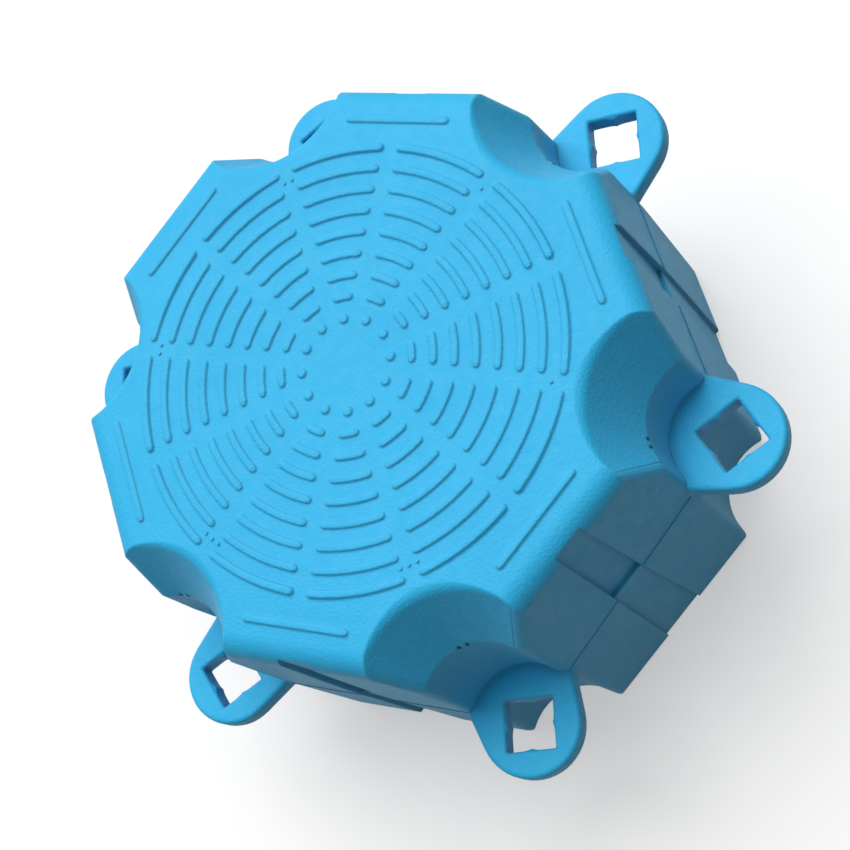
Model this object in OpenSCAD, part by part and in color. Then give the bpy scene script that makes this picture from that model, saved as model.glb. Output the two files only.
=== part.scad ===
// Hexagonal floating dock cube: one blow-moulded float, sealed, with a pin lug
// at each corner. Millimetres. +Z is up, Z=0 is the underside, +X looks square
// onto one side, and the corners lie at 30, 90, 150, 210, 270 and 330 degrees.

/* [Float] */
// spacing of two joined floats, centre to centre
pitch = 614;              // [590:1:650]
// underside to the flat of the deck
height = 400;             // [380:1:430]
// air left between two joined floats
joint_gap = 4;            // [2:0.5:8]
// draft of the side walls above the parting line, degrees
wall_draft = 1.3;         // [0.8:0.1:1.8]
// draft of the side walls below it, degrees
lower_draft = 0.2;        // [0.1:0.1:1]
// rounding where the deck turns down into a side
shoulder_radius = 26;     // [20:1:30]
// rounding where a side turns under
bottom_radius = 10;       // [8:1:20]
// distance from the middle at which the deck starts to fall away
rolloff_start = 190;      // [150:5:220]
// radius of that gentle fall
rolloff_radius = 800;     // [600:50:1600]

/* [Corner scallops] */
// radius of the pin-head seat at deck level
seat_radius = 105;        // [98:1:110]
// depth of the conical seat
seat_depth = 80;          // [60:2:100]
// radius where the cone meets the upright pocket
neck_radius = 65;         // [64:0.5:68]
// radius of the upright pocket behind the lugs
pocket_radius = 62.5;     // [60:0.5:64]
// soft edge between deck and seat
seat_edge_radius = 17;    // [10:1:20]
// radius of the pocket at the underside
foot_radius = 64;         // [63:0.5:72]
// soft edge between pocket and underside
foot_edge_radius = 8;     // [4:1:14]
// rounding of the upright edges where a side meets a scallop
edge_radius = 10;         // [6:1:12]

/* [Lugs] */
// outer radius of a lug ring
lug_radius = 55;          // [52:0.5:58]
// thickness of a lug
lug_thickness = 24;       // [20:0.5:25]
// step down from one lug level to the next
lug_step = 27;            // [26:0.5:30]
// top face of the highest lugs, above the underside
lug_top = 247;            // [235:1:255]
// rounding of the lug rim
lug_rim_radius = 5;       // [3:0.5:7]
// distance of a lug's base corners from the pin axis
lug_root = 70.6;          // [68:0.2:72]
// pin axis to the corners of the keyed hole
key_corner = 37;          // [34:0.5:40]
// bevel round the mouths of the keyed hole
key_bevel = 2.5;          // [1:0.5:4]
// height of the ridge in the middle of each side of the keyed hole
key_ridge = 2.2;          // [1:0.2:4]

/* [Side channels] */
// half the channel's width at the shoulder
channel_top = 18.5;       // [14:0.5:22]
// half the channel's width at the ledge
channel_middle = 22;      // [18:0.5:26]
// half the channel's width at the underside
channel_bottom = 28;      // [24:0.5:34]
// depth of the upper panel at the ledge
channel_depth = 8.5;      // [5:0.5:12]
// width of the ledge where the lower panel stands proud of the upper one
ledge_width = 4.5;        // [3:0.5:7]
// extra depth that the lower panel gains by the underside
lower_fall = 2;           // [1:0.5:6]

/* [Tread] */
// radius of the ring of studs
stud_ring = 48.7;         // [46:0.1:52]
// diameter of a stud
stud_diameter = 11;       // [9:0.5:13]
// radius of the innermost ring of ribs
first_ring = 71.7;        // [70:0.1:74]
// spacing of the rings of ribs
ring_step = 22.7;         // [21:0.1:23]
// rings of ribs
rings = 8;                // [6:1:8]
// width of a rib at its foot
rib_width = 8.8;          // [7:0.2:10]
// how far a rib stands up
rib_height = 2.4;         // [1.5:0.1:3]
// free width of the spokes between ribs
spoke_width = 14;         // [11:0.5:18]
// middle of the straight bars, from the middle of the deck
bar_distance = 262;       // [258:1:264]
// length of a straight bar
bar_length = 118;         // [100:1:124]
// diameter of the level dots between the two outer rings
dot_diameter = 3.4;       // [2.5:0.1:4]
// height of the flash line along the mould parting
flash = 0.7;              // [0.3:0.1:1]

/* [Hidden] */
sides = 6;
half_width = (pitch - joint_gap) / 2;
corner_distance = pitch / sqrt(3);
parting = lug_top - lug_step - lug_thickness / 2;

// lug level at each corner, from 30 degrees on: 0 is the highest
levels = [0, 1, 1, 2, 2, 0];
function lug_face(i) = lug_top - lug_step * levels[(i + sides) % sides];
function lug_middle(i) = lug_face(i) - lug_thickness / 2;

// points on an arc, from angle a to angle b
function arc(c, r, a, b, n) =
    [for (i = [0:n]) c + r * [cos(a + (b - a) * i / n), sin(a + (b - a) * i / n)]];

// Cross-section of the float, square to a side: x is the distance from the
// middle plane, y the height.
tilt = [cos(wall_draft), sin(wall_draft)];
upright = [-sin(wall_draft), cos(wall_draft)];
upper_line = half_width * tilt[0] + parting * tilt[1];
rolloff_centre = [rolloff_start, height - rolloff_radius];
shoulder_line = upper_line - shoulder_radius;
shoulder_rise = rolloff_centre * upright
    + sqrt(pow(rolloff_radius - shoulder_radius, 2)
    - pow(shoulder_line - rolloff_centre * tilt, 2));
shoulder_centre = shoulder_line * tilt + shoulder_rise * upright;
shoulder_way = shoulder_centre - rolloff_centre;
shoulder_turn = atan2(shoulder_way[1], shoulder_way[0]);
bottom_side = half_width - (parting - bottom_radius) * tan(lower_draft);
bottom_centre = [bottom_side - bottom_radius / cos(lower_draft), bottom_radius];
half_section = concat(
    arc(rolloff_centre, rolloff_radius, 90, shoulder_turn, 5),
    arc(shoulder_centre, shoulder_radius, shoulder_turn - 9, wall_draft, 8),
    [[half_width, parting]],
    arc(bottom_centre, bottom_radius, -lower_draft, -90, 7));
section = concat(
    half_section,
    [for (i = [len(half_section) - 1:-1:0])
        [-half_section[i][0], half_section[i][1]]]);

// Profile of a corner scallop: x is the distance from the pin axis.
seat_slope = atan((seat_radius - neck_radius) / seat_depth);
seat_edge = [seat_radius - seat_edge_radius * tan(seat_slope)
    + seat_edge_radius / cos(seat_slope), height - seat_edge_radius];
lowest_lug = lug_top - 2 * lug_step - lug_thickness;
foot_slope = atan((foot_radius - pocket_radius) / (lowest_lug - 10));
foot_edge = [foot_radius - foot_edge_radius * tan(foot_slope)
    + foot_edge_radius / cos(foot_slope), foot_edge_radius];
scallop_profile = concat(
    [[0, -20], [foot_edge[0], -20]],
    arc(foot_edge, foot_edge_radius, 270, 180 + foot_slope, 6),
    [[pocket_radius, lowest_lug - 10], [pocket_radius, lug_top + 4]],
    [[neck_radius, height - seat_depth]],
    arc(seat_edge, seat_edge_radius, 180 - seat_slope, 90, 7),
    [[seat_edge[0], height + 40], [0, height + 40]]);

// Plan of a lug: +x points away from the float, the pin axis is at 0,0.
root_angle = 120 + asin(joint_gap / 2 / lug_root);
root_turn = root_angle - acos(lug_radius / lug_root);
root_way = [-sin(root_turn), cos(root_turn)];
root_reach = sqrt(pow(lug_root, 2) - pow(lug_radius, 2)) + 24;

// Keyed hole: a square on its corner, each side with a ridge in its middle.
key_side = key_corner / sqrt(2);
key_steps = 12;
function key_wave(t) = key_side + 0.4 - key_ridge * exp(-pow(t * 6, 2));
key_outline = [for (s = [0:3]) for (i = [0:key_steps])
    let (t = -0.96 + 1.92 * i / key_steps, a = 45 + 90 * s)
    key_wave(t) * [cos(a), sin(a)] + key_side * t * [-sin(a), cos(a)]];

// tread ribs, seen from the end: a low ridge whose sloping flanks run on
// below the deck before the sides turn upright
rib_flank = 1.3;
rib_skirt = 2;
rib_sink = 8;

// step between faces that would otherwise just touch, so that they join
seam = 0.15;

module slab() {
    rotate([90, 0, 0])
        linear_extrude(height = 2 * pitch, center = true)
            polygon(section);
}

// Three slabs crossed at 60 degrees leave the six-sided block with its rounded
// shoulders.
module block() {
    intersection() {
        slab();
        rotate([0, 0, 60]) slab();
        rotate([0, 0, 120]) slab();
    }
}

// The mould's parting line runs from lug to lug, so it slopes where their
// levels differ.
module flash_line(k) {
    rise = lug_middle(k) - lug_middle(k - 1);
    run = corner_distance;
    rotate([0, 0, 60 * k])
        translate([half_width - 4, 0, (lug_middle(k) + lug_middle(k - 1)) / 2])
            rotate([atan2(rise, run), 0, 0])
                translate([0, -run / 2 + 40, -1])
                    cube([4 + flash, run - 80, 2]);
}

module scallop() {
    rotate_extrude($fn = 96)
        polygon(scallop_profile);
}

// The edge of a side and a scallop, seen along the side: height, and the
// scallop's radius there, at each point where the edge bends.
edge_bends = [
    [-5, foot_radius], [lowest_lug - 10, pocket_radius],
    [parting, pocket_radius], [lug_top + 4, pocket_radius],
    [height - seat_depth, neck_radius], [height, seat_radius]];

function side_at(z) = half_width
    - (z > parting ? (z - parting) * tan(wall_draft) : (parting - z) * tan(lower_draft));
function edge_point(bend) =
    [side_at(bend[0]), corner_distance / 2 - bend[1], bend[0]];

// Outline of what comes off such an edge: x is the distance out of the side, y
// runs along it to the pin. The arc touches the side and a scallop of radius r.
edge_steps = 4;
function edge_cut(r) =
    let (
        inset = edge_radius + joint_gap / 2,
        turn = acos(inset / (r + edge_radius)),
        centre = [-edge_radius, r - (r + edge_radius) * sin(turn)],
        outer = edge_radius / cos(turn / edge_steps / 2),
        curve = arc(centre, outer, 0, turn, edge_steps),
        end = curve[edge_steps] + 4 * [cos(turn), sin(turn)])
    concat(curve, [end, [4, end[1]], [4, centre[1]]]);

module edge_length(a, b) {
    way = edge_point(b) - edge_point(a);
    run = norm(way);
    translate(edge_point(a))
        rotate([-asin(way[1] / run), atan2(way[0], way[2]), 0])
            translate([0, 0, -0.5])
                linear_extrude(height = run + 1)
                    polygon(edge_cut((a[1] + b[1]) / 2));
}

module side_edges(k) {
    rotate([0, 0, 60 * k])
        for (flip = [0, 1])
            mirror([0, flip, 0])
                for (i = [0:len(edge_bends) - 2])
                    edge_length(edge_bends[i], edge_bends[i + 1]);
}

// A pair of small notches where the seat meets the pocket shows the pin's turn.
module index_notch() {
    for (y = [-6, 3])
        translate([-neck_radius - 3, y, height - seat_depth - 4])
            cube([6, 4, 6]);
}

// Channel down the middle of a side: a deep upper panel, a ledge, then a lower
// panel that falls back again towards the underside.
module channel(k) {
    ledge = (lug_middle(k) + lug_middle(k - 1)) / 2;
    upper = half_width - channel_depth;
    lower = upper + ledge_width;
    rotate([0, 0, 60 * k]) {
        translate([upper, 0, 0])
            rotate([90, 0, 90])
                linear_extrude(height = 60)
                    polygon([
                        [-channel_middle, ledge], [channel_middle, ledge],
                        [channel_top - 1, height + 20],
                        [1 - channel_top, height + 20]]);
        intersection() {
            translate([upper - 20, 0, 0])
                rotate([90, 0, 90])
                    linear_extrude(height = 80)
                        polygon([
                            [-channel_middle, ledge + 1],
                            [channel_middle, ledge + 1],
                            [channel_bottom, -5], [-channel_bottom, -5]]);
            rotate([90, 0, 0])
                linear_extrude(height = 3 * channel_bottom, center = true)
                    polygon([
                        [lower, ledge + 1], [lower + 60, ledge + 1],
                        [lower + 60, -5], [lower - lower_fall, -5]]);
        }
    }
}

// The lug's cross-section, out to its rounded rim.
module lug_section(start, reach) {
    rim = reach - lug_rim_radius;
    polygon(concat(
        [[start, 0]],
        arc([rim, lug_rim_radius], lug_rim_radius, -90, 0, 5),
        arc([rim, lug_thickness - lug_rim_radius], lug_rim_radius, 0, 90, 5),
        [[start, lug_thickness]]));
}

// One side of the lug, run straight back into the float. The two sides cross
// over in the middle.
module lug_flank() {
    translate(root_reach * root_way)
        rotate([90, 0, root_turn])
            linear_extrude(height = root_reach)
                lug_section(-14, lug_radius + seam);
}

module key_wedge(inner, outer, rise) {
    rotate([90, 0, 0])
        linear_extrude(height = 2 * outer + 2, center = true)
            polygon([[inner, -rise], [outer, 1], [-outer, 1], [-inner, -rise]]);
}

// A square mouth that narrows to the hole, cut by two crossed wedges.
module key_mouth() {
    outer = key_side + key_bevel + 1;
    inner = key_side - 1;
    rise = key_bevel + 1;
    intersection() {
        rotate([0, 0, 45]) key_wedge(inner, outer, rise);
        rotate([0, 0, 135]) key_wedge(inner, outer, rise);
    }
}

// One lug, its underside at z = 0; key is the turn of the hole.
module lug(key) {
    difference() {
        union() {
            rotate_extrude($fn = 96) lug_section(0, lug_radius);
            lug_flank();
            mirror([0, 1, 0]) lug_flank();
        }
        rotate([0, 0, key]) {
            translate([0, 0, -1])
                linear_extrude(height = lug_thickness + 2)
                    polygon(key_outline);
            translate([0, 0, lug_thickness]) key_mouth();
            mirror([0, 0, 1]) key_mouth();
        }
    }
}

// Side of a rib or stud of width w, seen from the end, from its foot up.
function ridge_side(w) = [
    [w / 2 + rib_flank * rib_skirt / rib_height, -rib_sink],
    [w / 2 + rib_flank * rib_skirt / rib_height, -rib_skirt],
    [w / 2 - rib_flank, rib_height]];

module ridge_section(r) {
    side = ridge_side(rib_width);
    polygon([
        [r + side[0][0], side[0][1]], [r + side[1][0], side[1][1]],
        [r + side[2][0], side[2][1]], [r - side[2][0], side[2][1]],
        [r - side[1][0], side[1][1]], [r - side[0][0], side[0][1]]]);
}

module stud(d) {
    rotate_extrude($fn = 24)
        polygon(concat([[0, -rib_sink]], ridge_side(d), [[0, rib_height]]));
}

// Round end of a rib, a touch narrower and lower than the rib itself.
module rib_end() {
    translate([0, 0, -seam]) stud(rib_width - 2 * seam);
}

// One curved rib between two spokes.
module curved_rib(r) {
    inset = asin((spoke_width / 2 + rib_width / 2) / r);
    rotate([0, 0, inset])
        rotate_extrude(angle = 30 - 2 * inset, $fn = 96)
            ridge_section(r);
    rotate([0, 0, inset]) translate([r, 0, 0]) rib_end();
    rotate([0, 0, 30 - inset]) translate([r, 0, 0]) rib_end();
}

module bar() {
    reach = bar_length / 2 - rib_width / 2;
    drop = pow(bar_distance - rolloff_start, 2) / 2 / rolloff_radius;
    translate([bar_distance, 0, -drop]) {
        rotate([90, 0, 0])
            linear_extrude(height = 2 * reach, center = true)
                ridge_section(0);
        translate([0, reach, 0]) rib_end();
        translate([0, -reach, 0]) rib_end();
    }
}

// Dots between the two outer rings count the level of the corner's lug.
module level_dots(i) {
    r = first_ring + (rings - 1.5) * ring_step;
    count = levels[i] + 1;
    for (j = [0:count - 1])
        rotate([0, 0, (j - (count - 1) / 2) * 2.4])
            translate([r, 0, -rib_sink])
                cylinder(h = rib_sink + 1.2, d = dot_diameter, $fn = 16);
}

module tread() {
    for (s = [0:11])
        rotate([0, 0, 30 * s]) {
            rotate([0, 0, 15]) translate([stud_ring, 0, 0]) stud(stud_diameter);
            for (k = [0:rings - 1]) curved_rib(first_ring + k * ring_step);
        }
    for (k = [0:sides - 1])
        rotate([0, 0, 60 * k]) {
            bar();
            rotate([0, 0, 30]) level_dots(k);
        }
}

module float_body() {
    color([0.16, 0.62, 0.88]) {
        difference() {
            union() {
                block();
                for (k = [0:sides - 1]) flash_line(k);
            }
            for (i = [0:sides - 1]) {
                rotate([0, 0, 30 + 60 * i])
                    translate([corner_distance, 0, 0]) {
                        scallop();
                        rotate([0, 0, 30 * (i % 2)]) index_notch();
                    }
                channel(i);
                side_edges(i);
            }
        }
        for (i = [0:sides - 1])
            rotate([0, 0, 30 + 60 * i])
                translate([corner_distance, 0, lug_face(i) - lug_thickness])
                    lug(i % 2 == 0 ? -60 * i : 30 - 60 * i);
        translate([0, 0, height]) tread();
    }
}

float_body();
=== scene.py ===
import math

import bpy
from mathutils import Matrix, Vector

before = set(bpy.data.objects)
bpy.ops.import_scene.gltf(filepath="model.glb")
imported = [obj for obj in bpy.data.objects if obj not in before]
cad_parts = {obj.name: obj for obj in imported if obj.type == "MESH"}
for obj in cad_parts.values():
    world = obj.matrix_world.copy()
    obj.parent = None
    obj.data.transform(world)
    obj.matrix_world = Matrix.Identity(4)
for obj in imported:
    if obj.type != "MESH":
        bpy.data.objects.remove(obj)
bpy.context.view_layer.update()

# Camera. It looks down on the deck over the side that faces 300 degrees, from
# about 62 degrees above the floor. The picture is turned so that the deck's far
# side leans to the left.
camera_place = (0.55093, -0.78391, 1.99065)
camera_turn = (16.1215, 23.6412, -18.2175)
camera_lens = 79.196
camera_film = 36.0
camera_shift = (0.01473, 0.0)

lens = bpy.data.cameras.new("studio_camera")
lens.sensor_width = camera_film
lens.lens = camera_lens
lens.shift_x, lens.shift_y = camera_shift
camera = bpy.data.objects.new("studio_camera", lens)
camera.location = camera_place
camera.rotation_euler = [math.radians(angle) for angle in camera_turn]
bpy.context.collection.objects.link(camera)
bpy.context.scene.camera = camera

# Studio floor. A flat pale sheet under the float, wide enough to fill every
# view. It looks white to the eye and in reflections, with a light shadow, and
# throws back only a little light, so the float's sides keep their shade.
floor_reach = 14.0
floor_height = -0.0005
floor_seen = (0.98, 0.98, 0.98, 1.0)
floor_bounce = (0.06, 0.06, 0.06, 1.0)
shadow_lift = 0.45
studio_white = (1.0, 1.0, 1.0, 1.0)

floor_mesh = bpy.data.meshes.new("studio_floor")
floor_mesh.from_pydata(
    [(-floor_reach, -floor_reach, floor_height), (floor_reach, -floor_reach, floor_height),
     (floor_reach, floor_reach, floor_height), (-floor_reach, floor_reach, floor_height)],
    [], [(0, 1, 2, 3)])
floor = bpy.data.objects.new("studio_floor", floor_mesh)
bpy.context.collection.objects.link(floor)

floor_paint = bpy.data.materials.new("floor_paint")
floor_paint.use_nodes = True
nodes, links = floor_paint.node_tree.nodes, floor_paint.node_tree.links
nodes.clear()


def diffuse_paint(colour):
    """Plain matt paint of one colour."""
    paint = nodes.new("ShaderNodeBsdfDiffuse")
    paint.inputs["Color"].default_value = colour
    return paint.outputs[0]


def seen_or_lit(seen, lit):
    """Seen for the camera and in reflections, and lit for every other ray."""
    rays = nodes.new("ShaderNodeLightPath")
    looked_at = nodes.new("ShaderNodeMath")
    looked_at.operation = "MAXIMUM"
    links.new(rays.outputs["Is Camera Ray"], looked_at.inputs[0])
    links.new(rays.outputs["Is Glossy Ray"], looked_at.inputs[1])
    choose = nodes.new("ShaderNodeMixShader")
    links.new(looked_at.outputs[0], choose.inputs[0])
    links.new(lit, choose.inputs[1])
    links.new(seen, choose.inputs[2])
    return choose.outputs[0]


glow = nodes.new("ShaderNodeEmission")
glow.inputs["Color"].default_value = studio_white
lifted = nodes.new("ShaderNodeMixShader")
lifted.inputs[0].default_value = shadow_lift
links.new(diffuse_paint(floor_seen), lifted.inputs[1])
links.new(glow.outputs[0], lifted.inputs[2])
floor_output = nodes.new("ShaderNodeOutputMaterial")
links.new(seen_or_lit(lifted.outputs[0], diffuse_paint(floor_bounce)),
          floor_output.inputs["Surface"])
floor_paint.cycles.emission_sampling = "NONE"
floor_mesh.materials.append(floor_paint)

# Studio light. One wide soft lamp hangs high behind the float, and an even
# pale room fills the shade. Together they light a level surface to about the
# colour that it is painted.
lamp_azimuth = 98.0
lamp_elevation = 62.0
lamp_width = 54.0
level_light = 1.06
room_level = 0.25
lamp_level = (level_light - room_level) * math.pi / math.sin(math.radians(lamp_elevation))

lamp_light = bpy.data.lights.new("key_lamp", "SUN")
lamp_light.energy = lamp_level
lamp_light.angle = math.radians(lamp_width)
lamp = bpy.data.objects.new("key_lamp", lamp_light)
toward_lamp = Vector((
    math.cos(math.radians(lamp_azimuth)) * math.cos(math.radians(lamp_elevation)),
    math.sin(math.radians(lamp_azimuth)) * math.cos(math.radians(lamp_elevation)),
    math.sin(math.radians(lamp_elevation))))
lamp.rotation_euler = toward_lamp.to_track_quat("Z", "Y").to_euler()
bpy.context.collection.objects.link(lamp)

room = bpy.data.worlds.new("studio_room")
bpy.context.scene.world = room
room.use_nodes = True
nodes, links = room.node_tree.nodes, room.node_tree.links
nodes.clear()


def room_light(strength):
    """Even white light from all around."""
    light = nodes.new("ShaderNodeBackground")
    light.inputs["Color"].default_value = studio_white
    light.inputs["Strength"].default_value = strength
    return light.outputs[0]


room_output = nodes.new("ShaderNodeOutputWorld")
links.new(seen_or_lit(room_light(1.0), room_light(room_level)), room_output.inputs["Surface"])
bpy.context.scene.view_settings.view_transform = "Standard"

# Float body. One hollow shell of sky-blue polyethylene, blown in a two-part mould whose walls
# were lightly grained. The skin is satin with a fine pebble. Its colour also carries painted
# light: duller and greyer down the sides as a painted reflection of the pale floor, deeper in
# its crevices as painted shade, and paler along its edges as a painted highlight.
shell_blue = (0.026, 0.466, 0.808, 1.0)
shell_deep = (0.022, 0.436, 0.776, 1.0)
# painted highlight colour for the edges
shell_edge_highlight = (0.085, 0.570, 0.880, 1.0)
# painted reflection colour for the upright sides
shell_side_sheen = (0.090, 0.450, 0.725, 1.0)
# painted shade colour for the crevices
shell_crevice_shade = (0.010, 0.190, 0.330, 1.0)
most_highlighted = 0.75
least_sheen, most_sheen = 0.50, 0.85
most_shaded = 0.75
satin_low, satin_high = 0.50, 0.62
edge_rounding = 0.0040
crevice_reach = 0.016
grain_size, grain_height = 0.0030, 0.00085
ripple_size, ripple_height = 0.110, 0.00020
mottle_size = 0.085
sheen_patch_size = 0.030
satin_size = 0.012
shell_index = 1.52
shell_gloss = 0.30
probe_samples = 6

float_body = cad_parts["float_body"]
shell = bpy.data.materials.new("blown_polyethylene")
shell.use_nodes = True
nodes, links = shell.node_tree.nodes, shell.node_tree.links
nodes.clear()
shell_output = nodes.new("ShaderNodeOutputMaterial")
skin = nodes.new("ShaderNodeBsdfPrincipled")
skin.inputs["IOR"].default_value = shell_index
skin.inputs["Specular IOR Level"].default_value = shell_gloss
links.new(skin.outputs[0], shell_output.inputs["Surface"])
place = nodes.new("ShaderNodeTexCoord")


def noise(size, detail, roughness=0.5):
    """Even noise whose lumps are about size metres across."""
    texture = nodes.new("ShaderNodeTexNoise")
    texture.inputs["Scale"].default_value = 1.0 / size
    texture.inputs["Detail"].default_value = detail
    texture.inputs["Roughness"].default_value = roughness
    links.new(place.outputs["Object"], texture.inputs["Vector"])
    return texture.outputs["Fac"]


def spread(source, low, high, to_low, to_high):
    """Carries the range low to high of source over to to_low to to_high."""
    remap = nodes.new("ShaderNodeMapRange")
    remap.inputs["From Min"].default_value = low
    remap.inputs["From Max"].default_value = high
    remap.inputs["To Min"].default_value = to_low
    remap.inputs["To Max"].default_value = to_high
    links.new(source, remap.inputs["Value"])
    return remap.outputs["Result"]


def patches(source, least, most):
    """Soft patches from least to most, out of the middle band of a noise."""
    return spread(source, 0.30, 0.70, least, most)


def blend_colours(share, first, second):
    """Mixes two colours, or a colour and a socket, by share."""
    mix = nodes.new("ShaderNodeMix")
    mix.data_type = "RGBA"
    links.new(share, mix.inputs["Factor"])
    for value, socket in ((first, mix.inputs["A"]), (second, mix.inputs["B"])):
        if isinstance(value, tuple):
            socket.default_value = value
        else:
            links.new(value, socket)
    return mix.outputs["Result"]


def raise_skin(height, depth, under):
    """A bump of that depth in metres, on top of the normal under."""
    bump = nodes.new("ShaderNodeBump")
    bump.inputs["Strength"].default_value = 1.0
    bump.inputs["Distance"].default_value = depth
    links.new(height, bump.inputs["Height"])
    links.new(under, bump.inputs["Normal"])
    return bump.outputs["Normal"]


rounded = nodes.new("ShaderNodeBevel")
rounded.samples = probe_samples
rounded.inputs["Radius"].default_value = edge_rounding
rippled = raise_skin(noise(ripple_size, 2.0), ripple_height, rounded.outputs["Normal"])
grained = raise_skin(noise(grain_size, 3.0, 0.6), grain_height, rippled)
links.new(grained, skin.inputs["Normal"])

# where the rounded normal leaves the flat one there is an edge, and edges get a painted
# highlight, a paler colour standing in for light catching them
surface = nodes.new("ShaderNodeNewGeometry")
facing = nodes.new("ShaderNodeVectorMath")
facing.operation = "DOT_PRODUCT"
links.new(rounded.outputs["Normal"], facing.inputs[0])
links.new(surface.outputs["Normal"], facing.inputs[1])
painted_edge_highlight = spread(facing.outputs["Value"], 0.995, 0.80, 0.0, most_highlighted)

# painted reflection: the sides turn duller and greyer below the rounded shoulder, most of all
# where they stand upright, standing in for the sheen of the pale floor on them
turned = nodes.new("ShaderNodeSeparateXYZ")
links.new(rounded.outputs["Normal"], turned.inputs["Vector"])
level_share = nodes.new("ShaderNodeMath")
level_share.operation = "ABSOLUTE"
links.new(turned.outputs["Z"], level_share.inputs[0])
painted_side_sheen = nodes.new("ShaderNodeMath")
painted_side_sheen.operation = "MULTIPLY"
links.new(spread(level_share.outputs[0], 0.55, 0.15, 0.0, 1.0), painted_side_sheen.inputs[0])
links.new(patches(noise(sheen_patch_size, 5.0, 0.65), least_sheen, most_sheen), painted_side_sheen.inputs[1])

# painted shade: the colour deepens in the ledges, at the feet of the ribs and where the lugs
# join, where less light reaches
crevice = nodes.new("ShaderNodeAmbientOcclusion")
crevice.samples = probe_samples
crevice.inputs["Distance"].default_value = crevice_reach
painted_crevice_shade = spread(crevice.outputs["AO"], 0.85, 0.38, 0.0, most_shaded)

mottle = patches(noise(mottle_size, 4.0, 0.6), 0.0, 1.0)
body_colour = blend_colours(mottle, shell_deep, shell_blue)
body_colour = blend_colours(painted_side_sheen.outputs[0], body_colour, shell_side_sheen)
body_colour = blend_colours(painted_edge_highlight, body_colour, shell_edge_highlight)
body_colour = blend_colours(painted_crevice_shade, body_colour, shell_crevice_shade)
links.new(body_colour, skin.inputs["Base Color"])
links.new(patches(noise(satin_size, 3.0), satin_low, satin_high), skin.inputs["Roughness"])

float_body.data.materials.clear()
float_body.data.materials.append(shell)
